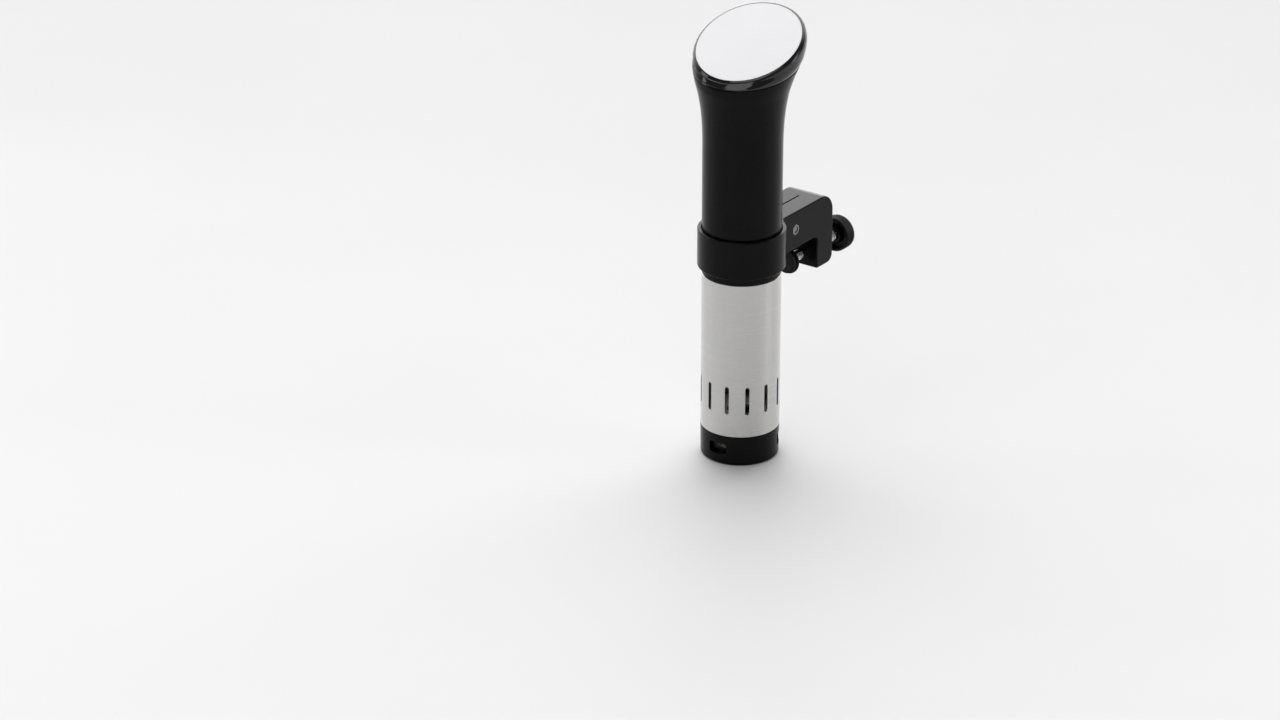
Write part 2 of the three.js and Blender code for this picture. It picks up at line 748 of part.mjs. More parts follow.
const satinBlack = finish(0x1d1e1e, 0.42);
const glossBlack = finish(0x0b0b0c, 0.12);
const lensWhite = finish(0xf1eff3, 0.1);
const steel = finish(0xc9cac8, 0.18, 1);
const plainSteel = finish(0xa8aaac, 0.4, 1);
const brass = finish(0xb8924a, 0.35, 1);
const copper = finish(0xa4572e, 0.4, 1);
const rubber = finish(0x222222, 0.85);
const greyPlastic = finish(0x8d8f90, 0.55);
const boardGreen = finish(0x1f5a35, 0.6);
const aluminium = finish(0xb9bcbe, 0.45, 1);
const magnet = finish(0x3b3d40, 0.6, 0.3);
const blueFilm = finish(0x24406e, 0.4);

function part(name, geometry, material) {
  const mesh = new THREE.Mesh(geometry, material());
  mesh.name = name;
  return mesh;
}

function group(...children) {
  const holder = new THREE.Group();
  holder.add(...children);
  return holder;
}

function wetEnd() {
  return group(
    part("bottom_cap", bottomCap(), satinBlack),
    part("steel_skirt", steelSkirt(), steel),
    part("pump_cover", pumpCover(), greyPlastic),
    part("shaft_bush", bush(62.5, 69.5), brass),
    part("heater_coil", heaterCoil(), steel),
    part("temperature_probe", rod(PROBE_R, 74, TERMINAL_TOP, 0, PROBE_ORBIT_R), steel),
    part("level_probe_low", rod(ELECTRODE_R, 74, TERMINAL_TOP, -18, 7), steel),
    part("level_probe_high", rod(ELECTRODE_R, 100, TERMINAL_TOP, -18, -7), steel),
  );
}

function sealedJoint() {
  return group(
    part("bulkhead", bulkhead(), greyPlastic),
    part("skirt_o_ring", oRing(26.1, 125.2), rubber),
    part("housing_o_ring", oRing(24.8, 144.2), rubber),
    part("shaft_seal", shaftSeal(), rubber),
  );
}

function driveMotor() {
  const motor = group(
    part("motor_plate", motorPlate(), plainSteel),
    part("motor_can", motorCan(), plainSteel),
    part("motor_magnets", magnetRing(), magnet),
    part("motor_end_cap", motorEndCap(), greyPlastic),
    part("motor_bush_lower", bush(MOTOR_BOTTOM, MOTOR_BOTTOM + 3), brass),
    part("motor_bush_upper", bush(MOTOR_TOP - 3.5, END_CAP_TOP - 0.5), brass),
  );
  COLUMN_ANGLES.forEach((degrees, i) => {
    const screw = panScrew(2, 1.2, PLATE_Z + PLATE_T + GAP, PLATE_Z + PLATE_T + 2.2, 157);
    motor.add(part(`plate_screw_${i + 1}`, onOrbit(screw, COLUMN_ORBIT_R, degrees), plainSteel));
  });
  MOTOR_SCREW_Y.forEach((y, i) => {
    const screw = panScrew(2.4, 1.2, PLATE_Z - GAP, PLATE_Z - 2.2, MOTOR_BOTTOM + 3.4);
    motor.add(part(`motor_screw_${i + 1}`, screw.translate(0, y, 0), plainSteel));
  });
  return motor;
}

function rotor() {
  return group(
    part("motor_shaft", disc(SHAFT_R, 157.7, 228, 16), plainSteel),
    part("armature", armature(), copper),
    part("cooling_fan", coolingFan(), satinBlack),
    part("shaft_coupling", shaftCoupling(), brass),
    part("drive_shaft", disc(SHAFT_R, 5.4, 157.3, 16), steel),
    part("impeller", impeller(), greyPlastic),
    part("impeller_nut", cut(hexagon(8, 5.2, 8.6), disc(SHAFT_R + GAP, 0, 10, 16)), steel),
  );
}

function head() {
  const face = group(
    part("display_lens", disc(LENS_R, -LENS_T, 0), lensWhite),
    part("display_gasket", tube(34.4, LENS_R - 0.2, -LENS_T - GAP - GASKET_T, -LENS_T - GAP), rubber),
    part("led_module", ledModule(), greyPlastic),
    part("display_board", displayBoard(), boardGreen),
    part("wireless_module", box([-9, 9], [12, 26], [-12.6, -8]), aluminium),
    part("buzzer", disc(6, -13, -8, FINE).translate(-16, -6, 0), satinBlack),
  );
  face.position.set(0, FACE.shift, FACE.z + FACE.slope * FACE.shift);
  face.rotation.x = faceTilt;
  return group(
    face,
    part("upper_housing", upperHousing(), satinBlack),
    part("head_bezel", headBezel(), glossBlack),
    part("cord_gland", cordGland(), rubber),
  );
}

function electronics() {
  return group(
    part("power_board", powerBoard(), boardGreen),
    part("transformer", transformer(), magnet),
    part("capacitor", capacitor(), blueFilm),
    part("relay", relay(), blueFilm),
    part("triac_heatsink", heatsink(), aluminium),
    part("terminal_block", terminalBlock(), greyPlastic),
  );
}

function clamp() {
  return group(
    part("clamp_liner", clampLiner(), rubber),
    part("clamp_bracket", clampBracket(), satinBlack),
    part("pinch_bolt", pinchBolt(), plainSteel),
    part("pinch_nut", pinchNut(), plainSteel),
    part("thread_insert", threadInsert(), brass),
    part("pressure_pad", pressurePad(), satinBlack),
    part("pad_facing", padFacing(), rubber),
    part("clamp_screw", clampScrew(), steel),
    part("clamp_knob", clampKnob(), satinBlack),
  );
}

const circulator = group(wetEnd(), sealedJoint(), driveMotor(), rotor(), head(), electronics(), clamp());
circulator.name = "sous_vide_circulator";

export default circulator;
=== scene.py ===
"""The looks of the sous vide circulator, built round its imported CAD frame.

Outlines are in millimetres in the object's own frame, and make_mesh turns them into metres.
"""

import json
import math

import bmesh
import bpy
from mathutils import Matrix, Vector


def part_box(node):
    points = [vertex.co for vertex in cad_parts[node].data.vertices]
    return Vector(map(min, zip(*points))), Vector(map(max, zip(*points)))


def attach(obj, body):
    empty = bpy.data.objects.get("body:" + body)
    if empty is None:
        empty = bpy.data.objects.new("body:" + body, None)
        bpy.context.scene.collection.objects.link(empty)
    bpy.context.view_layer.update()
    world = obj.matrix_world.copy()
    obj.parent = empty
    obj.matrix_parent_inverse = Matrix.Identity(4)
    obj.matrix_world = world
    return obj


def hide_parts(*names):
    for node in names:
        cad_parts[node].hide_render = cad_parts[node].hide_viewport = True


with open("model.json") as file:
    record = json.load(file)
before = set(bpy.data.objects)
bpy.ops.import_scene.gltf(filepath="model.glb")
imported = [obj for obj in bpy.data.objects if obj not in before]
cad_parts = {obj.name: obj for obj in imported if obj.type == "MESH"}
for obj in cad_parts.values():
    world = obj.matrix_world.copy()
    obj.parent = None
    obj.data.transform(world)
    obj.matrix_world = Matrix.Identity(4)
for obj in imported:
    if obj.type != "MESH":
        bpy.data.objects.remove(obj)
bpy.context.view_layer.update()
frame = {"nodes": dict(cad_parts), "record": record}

MM = 0.001
ROUND = 144  # facets round the body
FINE = 64  # facets round a bolt
COARSE = 32  # facets round a hole
GAP = 0.3  # free gap between neighbouring pieces


def corners(node):
    """A CAD node's lowest and highest corners, in millimetres."""
    low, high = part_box(node)
    return low / MM, high / MM


# Places read from the frame
RING_TOP = corners("clamp_bracket")[1].z
LEG_FOOT = corners("clamp_bracket")[0].z
LEG_OUTER_Y = corners("clamp_bracket")[1].y
SKIRT_BOTTOM, SKIRT_TOP = corners("steel_skirt")[0].z, corners("steel_skirt")[1].z
BODY_R = corners("steel_skirt")[1].y
HOUSING_BOTTOM = corners("upper_housing")[0].z
CAP_TOP = SKIRT_BOTTOM - GAP
SCREW_Z = (corners("clamp_screw")[0].z + corners("clamp_screw")[1].z) / 2
SCREW_Y = (corners("clamp_screw")[0].y, corners("clamp_screw")[1].y)
KNOB_Y = (corners("clamp_knob")[0].y, corners("clamp_knob")[1].y)
PAD_Y = (corners("pad_facing")[0].y, corners("pressure_pad")[1].y)
INSERT_Y = (corners("thread_insert")[0].y, corners("thread_insert")[1].y)
GLAND_Y = (corners("cord_gland")[0].y, corners("cord_gland")[1].y)
GLAND_Z = (corners("cord_gland")[0].z + corners("cord_gland")[1].z) / 2
PINCH_Y = (corners("pinch_nut")[0].y + corners("pinch_nut")[1].y) / 2
PINCH_Z = (corners("pinch_nut")[0].z + corners("pinch_nut")[1].z) / 2
NUT_X = (corners("pinch_nut")[0].x, corners("pinch_nut")[1].x)
BOLT_X = (corners("pinch_bolt")[0].x, corners("pinch_bolt")[1].x)

# Driving dimensions that the frame's boxes don't give
HOUSING_WALL = 2.2
FLARE_START = RING_TOP + 58
FLARE_LENGTH = 51
FLARE_GAIN = 5.8
FLARE_POWER = 2.6
LENS_R = 37.4
LENS_T = 2.2
WINDOW_R = 34
# The bezel's rim, as (below the face, out from the lens)
RIM = ((2.0, 2.5), (1.1, 2.15), (0.4, 1.3), (0.0, 0.4))
HEAD_STEPS = 8  # rings between two stations of the head
RIM_STEPS = 6
SKIRT_WALL = 0.8
CAP_FLOOR = 4
CAP_INNER_R = 25.3
NECK_R = 26.8
NECK_INNER_R = 24.2
NECK_TOP = 29
GLAND_STEM_R = 4.6
GLAND_FLANGE_R = 6.6
CORD_R = 3.2
RING_OUTER_R = 31.1
RING_BORE_R = 29.1
RING_LIP_R = 28.35
RING_LIP_T = 1
LINER_R = (28.3, 28.8)
RING_H = 28
ARM_HALF = 15.35
ARM_FILLET_R = 6
LEG_INNER_Y = 72.4
ARM_CORNER_R = 14
LEG_TOE_R = 6
THROAT_R = 3
SLIT_W = 1.3
SLIT_END_Y = 71
NUT_FLATS = 7.3
NUT_POCKET_X = 12.3
HEAD_POCKET_X = -11.5
PINCH_R = 2
PINCH_HEAD_R = 3.5
INSERT_R = 6.5
SCREW_R = 4
THREAD_PITCH = 2
SCREW_FACETS = 48
KNOB_R = 12.8
KNOB_RIBS = 60
PAD_R = 9.6


class Station:
    """A tilted ring of the head: height on the drive axis, radius, rise along +Y, centre along +Y."""

    def __init__(self, z, r, slope=0.0, shift=0.0):
        self.values = Vector((z, r, slope, shift))

    def thinned(self, wall):
        z, r, slope, shift = self.values
        return Station(z, r - wall, slope, shift)

    def sunk(self, depth, r):
        """The ring of radius r that lies depth below this one, square to its plane."""
        z, _, slope, shift = self.values
        tilt = math.atan(slope)
        return Station(z - depth / math.cos(tilt), r, slope, shift + depth * math.sin(tilt))

    def points(self, count=ROUND):
        z, r, slope, shift = self.values
        squeeze = math.cos(math.atan(slope))
        found = []
        for i in range(count):
            angle = 2 * math.pi * i / count
            y = shift + r * math.sin(angle) * squeeze
            found.append((r * math.cos(angle), y, z + slope * y))
        return found


def flare(h):
    return Station(FLARE_START + h, BODY_R + FLARE_GAIN * (h / FLARE_LENGTH) ** FLARE_POWER)


NECKLINE = Station(RING_TOP + 110, 34.4, 0.09, 1.3)
PARTING = Station(RING_TOP + 117.8, 37.2, 0.18, 3.6)
SHOULDER_LOW = Station(RING_TOP + 121.9, 39, 0.27, 5.7)
LIP = Station(RING_TOP + 126.3, 39.7, 0.36, 7.3)
SHOULDER_HIGH = Station(RING_TOP + 129.5, 39.9, 0.47, 6.9)
FACE = Station(RING_TOP + 131.9, 38.3, 0.514, 5.75)


# Mesh tools
def make_mesh(name, points, faces):
    mesh = bpy.data.meshes.new(name)
    mesh.from_pydata([Vector(p) * MM for p in points], [], faces)
    mesh.validate()
    obj = bpy.data.objects.new(name, mesh)
    bpy.context.scene.collection.objects.link(obj)
    return obj


def smooth_normals(mesh, sharp):
    """Gives each corner the mean normal of the faces round it that lie within sharp degrees of its own.

    Large faces count most, so flat faces stay flat and only their rounded edges shade round.
    """
    around = [[] for _ in mesh.vertices]
    for face in mesh.polygons:
        for vertex in face.vertices:
            around[vertex].append(face)
    limit = math.cos(math.radians(sharp))
    normals = []
    for face in mesh.polygons:
        own = face.normal
        for vertex in face.vertices:
            near = [f for f in around[vertex] if f.normal.dot(own) > limit]
            mean = sum((f.normal * f.area**2 for f in near), Vector())
            normals.append(mean.normalized() if mean.length > 0 else own)
    mesh.shade_smooth()
    mesh.normals_split_custom_set(normals)


def loop_faces(rings, count, closed):
    """Quads between neighbouring rings of count points; closed joins the last ring to the first."""
    faces = []
    for i in range(rings if closed else rings - 1):
        below = i * count
        above = (i + 1) % rings * count
        for j in range(count):
            k = (j + 1) % count
            faces.append((below + j, below + k, above + k, above + j))
    return faces


def lofted(name, rings, closed=True):
    """A solid skinned over rings of points: closed rings make a shell, and open ones get end caps."""
    count = len(rings[0])
    faces = loop_faces(len(rings), count, closed)
    if not closed:
        last = (len(rings) - 1) * count
        faces.append(tuple(reversed(range(count))))
        faces.append(tuple(range(last, last + count)))
    return make_mesh(name, [p for ring in rings for p in ring], faces)


def rounded(outline, steps=5, closed=False):
    """An outline with its corners rounded: a corner is (x, y) or (x, y, radius)."""
    points = []
    last = len(outline) - 1
    for i, corner in enumerate(outline):
        here = Vector(corner[:2])
        radius = corner[2] if len(corner) > 2 else 0
        if radius == 0 or (not closed and i in (0, last)):
            points.append(tuple(here))
            continue
        back = (Vector(outline[i - 1][:2]) - here).normalized()
        ahead = (Vector(outline[(i + 1) % len(outline)][:2]) - here).normalized()
        half = back.angle(ahead) / 2
        bisector = (back + ahead).normalized()
        centre = here + bisector * radius / math.sin(half)
        start = here + back * radius / math.tan(half) - centre
        end = here + ahead * radius / math.tan(half) - centre
        sweep = start.angle_signed(end)
        for step in range(steps + 1):
            turned = start.copy()
            turned.rotate(Matrix.Rotation(-sweep * step / steps, 2))
            points.append(tuple(centre + turned))
    return points


def revolved(name, profile, segments=ROUND, wave=None):
    """A solid of revolution round Z. A profile point is (r, z), and those on the axis close the ends.

    wave(angle, r, z) adds to the radius.
    """
    points, rings, faces = [], [], []
    for r, z in profile:
        if r < 1e-6:
            rings.append([len(points)])
            points.append((0, 0, z))
            continue
        rings.append(list(range(len(points), len(points) + segments)))
        for i in range(segments):
            angle = 2 * math.pi * i / segments
            wide = r + (wave(angle, r, z) if wave else 0)
            points.append((wide * math.cos(angle), wide * math.sin(angle), z))
    on_axis = len(rings[0]) == 1
    pairs = zip(rings, rings[1:] if on_axis else rings[1:] + rings[:1])
    for low, high in pairs:
        for i in range(segments):
            j = (i + 1) % segments
            if len(low) == 1:
                faces.append((low[0], high[j], high[i]))
            elif len(high) == 1:
                faces.append((low[i], low[j], high[0]))
            else:
                faces.append((low[i], low[j], high[j], high[i]))
    return make_mesh(name, points, faces)


def prism(name, outline, low, high):
    """A closed outline in XY, raised from low to high."""
    return lofted(name, [[(x, y, z) for x, y in outline] for z in (low, high)], closed=False)


def block(x, y, z):
    outline = [(x[0], y[0]), (x[1], y[0]), (x[1], y[1]), (x[0], y[1])]
    return prism("block", outline, *z)


def rod(r, low, high, segments=FINE):
    """A cylinder up Z, turned by an angle of its own so that coaxial rods share no radial edges."""
    cylinder = revolved("rod", [(0, low), (r, low), (r, high), (0, high)], segments)
    return moved(cylinder, turn(5 * r, "Z"))


def circle(r, segments=FINE):
    return [
        (r * math.cos(2 * math.pi * i / segments), r * math.sin(2 * math.pi * i / segments))
        for i in range(segments)
    ]


def hexagon(flats):
    return circle(flats / math.sqrt(3), 6)


def moved(obj, *matrices):
    """Puts the mesh itself in place, with each matrix applied in turn."""
    for matrix in matrices:
        obj.data.transform(matrix)
    if sum((m.determinant() < 0) for m in matrices) % 2:
        obj.data.flip_normals()
    return obj


def shift(x=0.0, y=0.0, z=0.0):
    return Matrix.Translation(Vector((x, y, z)) * MM)


def turn(degrees, axis):
    return Matrix.Rotation(math.radians(degrees), 4, axis)


def along_y(z):
    """Lays a shape drawn up Z along +Y, at height z."""
    return shift(z=z) @ turn(-90, "X")


def along_x(y, z):
    return shift(y=y, z=z) @ turn(90, "Y")


def applied(obj):
    """Turns an object's modifiers into its mesh."""
    graph = bpy.context.evaluated_depsgraph_get()
    mesh = bpy.data.meshes.new_from_object(obj.evaluated_get(graph), depsgraph=graph)
    obj.modifiers.clear()
    obj.data = mesh
    return obj


def flattened(obj):
    """Merges faces that lie in one plane, so that each plane shades as one."""
    mesh = bmesh.new()
    mesh.from_mesh(obj.data)
    limit = math.radians(0.3)
    bmesh.ops.dissolve_limit(mesh, angle_limit=limit, verts=mesh.verts, edges=mesh.edges)
    mesh.to_mesh(obj.data)
    mesh.free()
    return obj


def boolean(obj, others, operation):
    for other in others:
        modifier = obj.modifiers.new(operation, "BOOLEAN")
        modifier.operation = operation
        modifier.solver = "EXACT"
        modifier.object = other
        applied(obj)
        bpy.data.objects.remove(other)
    return flattened(obj)


def cut(obj, *others):
    return boolean(obj, others, "DIFFERENCE")


def bevelled(obj, width, segments=3, angle=30):
    modifier = obj.modifiers.new("edges", "BEVEL")
    modifier.width = width * MM
    modifier.segments = segments
    modifier.limit_method = "ANGLE"
    modifier.angle_limit = math.radians(angle)
    modifier.miter_outer = "MITER_ARC"
    modifier.use_clamp_overlap = True
    return applied(obj)


def spline(stations, steps):
    """Stations spread smoothly between the given ones (Catmull-Rom)."""
    values = [s.values for s in stations]
    found = []
    for i in range(len(values) - 1):
        before = values[max(i - 1, 0)]
        start, end = values[i], values[i + 1]
        after = values[min(i + 2, len(values) - 1)]
        for step in range(steps):
            t = step / steps
            point = (
                start * 2
                + (end - before) * t
                + (before * 2 - start * 5 + end * 4 - after) * t**2
                + (start * 3 - before - end * 3 + after) * t**3
            ) / 2
            found.append(Station(*point))
    found.append(stations[-1])
    return found


# Materials
class Look:
    """A Principled material with helpers for the nodes that vary it."""

    def __init__(self, name, color, roughness, metallic=0.0):
        self.material = bpy.data.materials.new(name)
        self.material.use_nodes = True
        self.nodes = self.material.node_tree.nodes
        self.links = self.material.node_tree.links
        self.shader = self.nodes["Principled BSDF"]
        self.set("Base Color", (*color, 1))
        self.set("Roughness", roughness)
        self.set("Metallic", metallic)
        self.coordinates = self.nodes.new("ShaderNodeTexCoord").outputs["Object"]

    def set(self, socket, value):
        self.shader.inputs[socket].default_value = value
        return self

    def noise(self, scale, detail=3.0, stretch=(1, 1, 1)):
        """Noise with scale features to a metre, stretched along the axes."""
        mapping = self.nodes.new("ShaderNodeMapping")
        mapping.inputs["Scale"].default_value = stretch
        self.links.new(self.coordinates, mapping.inputs["Vector"])
        texture = self.nodes.new("ShaderNodeTexNoise")
        texture.inputs["Scale"].default_value = scale
        texture.inputs["Detail"].default_value = detail
        self.links.new(mapping.outputs["Vector"], texture.inputs["Vector"])
        return texture.outputs["Fac"]

    def ramp(self, value, stops):
        ramp = self.nodes.new("ShaderNodeValToRGB")
        elements = ramp.color_ramp.elements
        while len(elements) < len(stops):
            elements.new(0.5)
        for element, (position, color) in zip(elements, stops):
            element.position = position
            element.color = (*color, 1)
        self.links.new(value, ramp.inputs["Fac"])
        return ramp.outputs["Color"]

    def spread(self, value, low, high):
        """Value's middle range, mapped to run from low to high."""
        node = self.nodes.new("ShaderNodeMapRange")
        node.inputs["From Min"].default_value = 0.3
        node.inputs["From Max"].default_value = 0.7
        node.inputs["To Min"].default_value = low
        node.inputs["To Max"].default_value = high
        self.links.new(value, node.inputs["Value"])
        return node.outputs["Result"]

    def color_from(self, value, *colors):
        stops = [(0.3 + 0.4 * i / (len(colors) - 1), c) for i, c in enumerate(colors)]
        self.links.new(self.ramp(value, stops), self.shader.inputs["Base Color"])
        return self

    def roughness_from(self, value, low, high):
        self.links.new(self.spread(value, low, high), self.shader.inputs["Roughness"])
        return self

    def bump_from(self, value, depth, strength=1.0):
        """Relief of the given depth in millimetres."""
        bump = self.nodes.new("ShaderNodeBump")
        bump.inputs["Strength"].default_value = strength
        bump.inputs["Distance"].default_value = depth * MM
        self.links.new(value, bump.inputs["Height"])
        previous = self.shader.inputs["Normal"]
        if previous.is_linked:
            self.links.new(previous.links[0].from_socket, bump.inputs["Normal"])
        self.links.new(bump.outputs["Normal"], previous)
        return self


def grey(value):
    return (value, value, value)


def satin_black():
    """Moulded black plastic: a fine spark-eroded grain under a soft sheen."""
    look = Look("satin_black", grey(0.004), 0.22)
    look.color_from(look.noise(60, 4), grey(0.0032), grey(0.0048))
    look.roughness_from(look.noise(90, 5), 0.2, 0.24)
    look.bump_from(look.noise(1700, 2), 0.012, 0.35)
    return look.set("Specular IOR Level", 0.1).material


def gloss_black():
    """Polished black plastic, with the faint waviness that a moulding keeps."""
    look = Look("gloss_black", grey(0.006), 0.06)
    look.color_from(look.noise(40, 2), grey(0.003), grey(0.005))
    look.roughness_from(look.noise(70, 4), 0.04, 0.09)
    look.bump_from(look.noise(45, 1), 0.02, 0.2)
    return look.set("IOR", 1.55).material


def lens_white():
    """The display's white window: a clear hard face over a diffuser."""
    look = Look("lens_white", (0.93, 0.92, 0.94), 0.12)
    look.color_from(look.noise(25, 2), (0.915, 0.905, 0.93), (0.94, 0.93, 0.95))
    look.roughness_from(look.noise(120, 4), 0.08, 0.14)
    look.set("Subsurface Weight", 0.15).set("Subsurface Radius", (0.002, 0.002, 0.002))
    return look.set("Coat Weight", 0.6).set("Coat Roughness", 0.04).material


def stainless():
    """Brushed stainless tube: fine lines run round it and spread its highlights up and down."""
    look = Look("stainless", (0.6, 0.595, 0.585), 0.24, 1.0)
    lines = look.noise(40, 6, stretch=(0.12, 0.12, 70))
    look.color_from(lines, (0.54, 0.535, 0.525), (0.65, 0.645, 0.635))
    look.roughness_from(lines, 0.18, 0.3)
    look.bump_from(lines, 0.012, 0.25)
    return look.set("Anisotropic", 0.8).set("Anisotropic Rotation", 0.25).material


def plated_steel():
    look = Look("plated_steel", (0.24, 0.25, 0.24), 0.38, 1.0)
    look.color_from(look.noise(260, 5), (0.18, 0.19, 0.18), (0.3, 0.31, 0.29))
    look.roughness_from(look.noise(500, 4), 0.26, 0.44)
    look.bump_from(look.noise(1500, 3), 0.01, 0.4)
    return look.material


def brass():
    look = Look("brass", (0.62, 0.42, 0.16), 0.3, 1.0)
    look.color_from(look.noise(150, 4), (0.5, 0.32, 0.11), (0.68, 0.48, 0.2))
    look.roughness_from(look.noise(60, 6, stretch=(1, 30, 1)), 0.2, 0.42)
    look.bump_from(look.noise(80, 4, stretch=(1, 30, 1)), 0.01, 0.4)
    return look.material


def winding():
    look = Look("winding", (0.45, 0.16, 0.06), 0.4, 1.0)
    strands = look.noise(90, 3, stretch=(18, 18, 1))
    look.color_from(strands, (0.2, 0.06, 0.02), (0.55, 0.2, 0.07))
    look.bump_from(strands, 0.2, 0.6)
    return look.material


def rubber():
    look = Look("rubber", grey(0.016), 0.8)
    look.color_from(look.noise(300, 5), grey(0.012), grey(0.024))
    look.roughness_from(look.noise(180, 4), 0.68, 0.9)
    look.bump_from(look.noise(2200, 3), 0.02, 0.5)
    return look.set("Specular IOR Level", 0.3).material


def grey_plastic():
    look = Look("grey_plastic", grey(0.27), 0.5)
    look.color_from(look.noise(80, 4), grey(0.23), grey(0.3))
    look.roughness_from(look.noise(120, 4), 0.42, 0.6)
    look.bump_from(look.noise(1500, 3), 0.015, 0.4)
    return look.material


def circuit_board():
    """Green solder mask with the lines of buried tracks."""
    look = Look("circuit_board", (0.014, 0.1, 0.036), 0.35)
    tracks = look.nodes.new("ShaderNodeTexBrick")
    tracks.inputs["Scale"].default_value = 420
    tracks.inputs["Mortar Size"].default_value = 0.05
    tracks.inputs["Color1"].default_value = (0.01, 0.085, 0.03, 1)
    tracks.inputs["Color2"].default_value = (0.016, 0.12, 0.045, 1)
    tracks.inputs["Mortar"].default_value = (0.03, 0.19, 0.08, 1)
    look.links.new(look.coordinates, tracks.inputs["Vector"])
    look.links.new(tracks.outputs["Color"], look.shader.inputs["Base Color"])
    look.roughness_from(look.noise(200, 4), 0.28, 0.42)
    look.bump_from(tracks.outputs["Fac"], 0.03, 0.5)
    return look.material


def aluminium():
    look = Look("aluminium", (0.56, 0.57, 0.58), 0.38, 1.0)
    look.color_from(look.noise(120, 4), (0.5, 0.51, 0.52), (0.62, 0.63, 0.64))
    look.roughness_from(look.noise(60, 6, stretch=(1, 1, 0.04)), 0.3, 0.5)
    look.bump_from(look.noise(90, 5, stretch=(1, 1, 0.04)), 0.01, 0.5)
    return look.material


def ferrite():
    look = Look("ferrite", (0.045, 0.047, 0.052), 0.55, 0.3)
    look.color_from(look.noise(700, 6), grey(0.03), grey(0.07))
    look.roughness_from(look.noise(300, 4), 0.45, 0.65)
    look.bump_from(look.noise(1200, 5), 0.03, 0.6)
    return look.material


def blue_film():
    look = Look("blue_film", (0.018, 0.05, 0.15), 0.25)
    look.color_from(look.noise(50, 3), (0.014, 0.04, 0.12), (0.022, 0.06, 0.18))
    look.roughness_from(look.noise(160, 4), 0.18, 0.32)
    look.bump_from(look.noise(200, 2), 0.02, 0.3)
    return look.material


LOOKS = {
    "satin_black": satin_black(),
    "gloss_black": gloss_black(),
    "lens_white": lens_white(),
    "stainless": stainless(),
    "plated_steel": plated_steel(),
    "brass": brass(),
    "winding": winding(),
    "rubber": rubber(),
    "grey_plastic": grey_plastic(),
    "circuit_board": circuit_board(),
    "aluminium": aluminium(),
    "ferrite": ferrite(),
    "blue_film": blue_film(),
}


def piece(obj, body, slot, node, sharp=35):
    """Shades a piece, gives it its slot's look, ties it to its body, and hides the CAD node that it stands
    for.
    """
    obj.data.materials.clear()
    obj.data.materials.append(LOOKS[slot])
    smooth_normals(obj.data, sharp)
    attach(obj, body)
    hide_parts(node)


# Head and housing
def head_curve():
    """The head's rings from the flare to the face, and the index of the parting line's ring."""
    below = [flare(h) for h in (0, 7, 14, 21, 28, 34, 40, 45)] + [NECKLINE, PARTING]
    above = [SHOULDER_LOW, LIP, SHOULDER_HIGH, FACE]
    return spline(below + above, HEAD_STEPS), (len(below) - 1) * HEAD_STEPS


def upper_housing():
    edge = 0.4
    curve, at_parting = head_curve()
    outer = [
        Station(HOUSING_BOTTOM, BODY_R - edge),
        Station(HOUSING_BOTTOM + edge * 0.3, BODY_R - edge * 0.3),
        Station(HOUSING_BOTTOM + edge, BODY_R),
        *(Station(HOUSING_BOTTOM + h, BODY_R) for h in (6, 30, 60, 85)),
        *curve[:at_parting],
    ]
    top = curve[at_parting]
    radius = top.values[1]
    outer += [top.sunk(GAP / 2 + edge, radius - 0.12), top.sunk(GAP / 2, radius - edge)]
    inner = [
        Station(HOUSING_BOTTOM, BODY_R - HOUSING_WALL),
        Station(HOUSING_BOTTOM + 6, BODY_R - HOUSING_WALL),
        *(s.thinned(HOUSING_WALL) for s in curve[:at_parting:4]),
        top.sunk(GAP / 2, radius - HOUSING_WALL),
    ]
    rings = [s.points() for s in outer] + [s.points() for s in reversed(inner)]
    shell = lofted("housing_shell", rings)
    bore = moved(rod(GLAND_STEM_R + GAP, 20, 40), along_y(GLAND_Z))
    seat = moved(rod(GLAND_FLANGE_R + GAP, 28.6, 40), along_y(GLAND_Z))
    piece(cut(shell, seat, bore), "housing", "satin_black", "upper_housing")


def head_bezel():
    edge = 0.4
    curve, at_parting = head_curve()
    start = curve[at_parting]
    radius = start.values[1]
    rim = spline([FACE.sunk(depth, LENS_R + out) for depth, out in RIM], RIM_STEPS)
    outer = [
        start.sunk(-GAP / 2, radius - edge),
        start.sunk(-GAP / 2 - edge * 0.3, radius - edge * 0.3),
        *curve[at_parting + 2 : 1 - HEAD_STEPS],
        *rim,
        FACE.sunk(0.2, LENS_R + GAP),
        FACE.sunk(LENS_T + 1.4, LENS_R + GAP),
        FACE.sunk(LENS_T + 1.4, WINDOW_R),
        FACE.sunk(5.2, WINDOW_R),
        start.sunk(-GAP / 2, radius - 2.4),
    ]
    piece(lofted("bezel", [s.points() for s in outer]), "housing", "gloss_black", "head_bezel")


def face_plane():
    """The matrix that lays a shape drawn on XY in the display's plane."""
    z, _, slope, y = FACE.values
    return shift(y=y, z=z + slope * y) @ turn(math.degrees(math.atan(slope)), "X")


def display_lens():
    """A slightly crowned disc that fills its seat in the bezel."""
    crown = 0.1
    radius = LENS_R + GAP - 0.06
    top = [(radius * (1 - i / 6), -crown * (1 - i / 6) ** 2) for i in range(1, 7)]
    side = rounded([(0, -LENS_T), (radius, -LENS_T, 0.3), (radius, -crown, 0.25), (30, 0)])
    lens = revolved("lens", [*side[:-1], *top])
    piece(moved(lens, face_plane()), "housing", "lens_white", "display_lens")


# Wet end
def tube_profile(inner, outer, low, high, edge):
    corners_in = [(inner, low, edge), (outer, low, edge), (outer, high, edge), (inner, high, edge)]
    return rounded(corners_in, 3, closed=True)


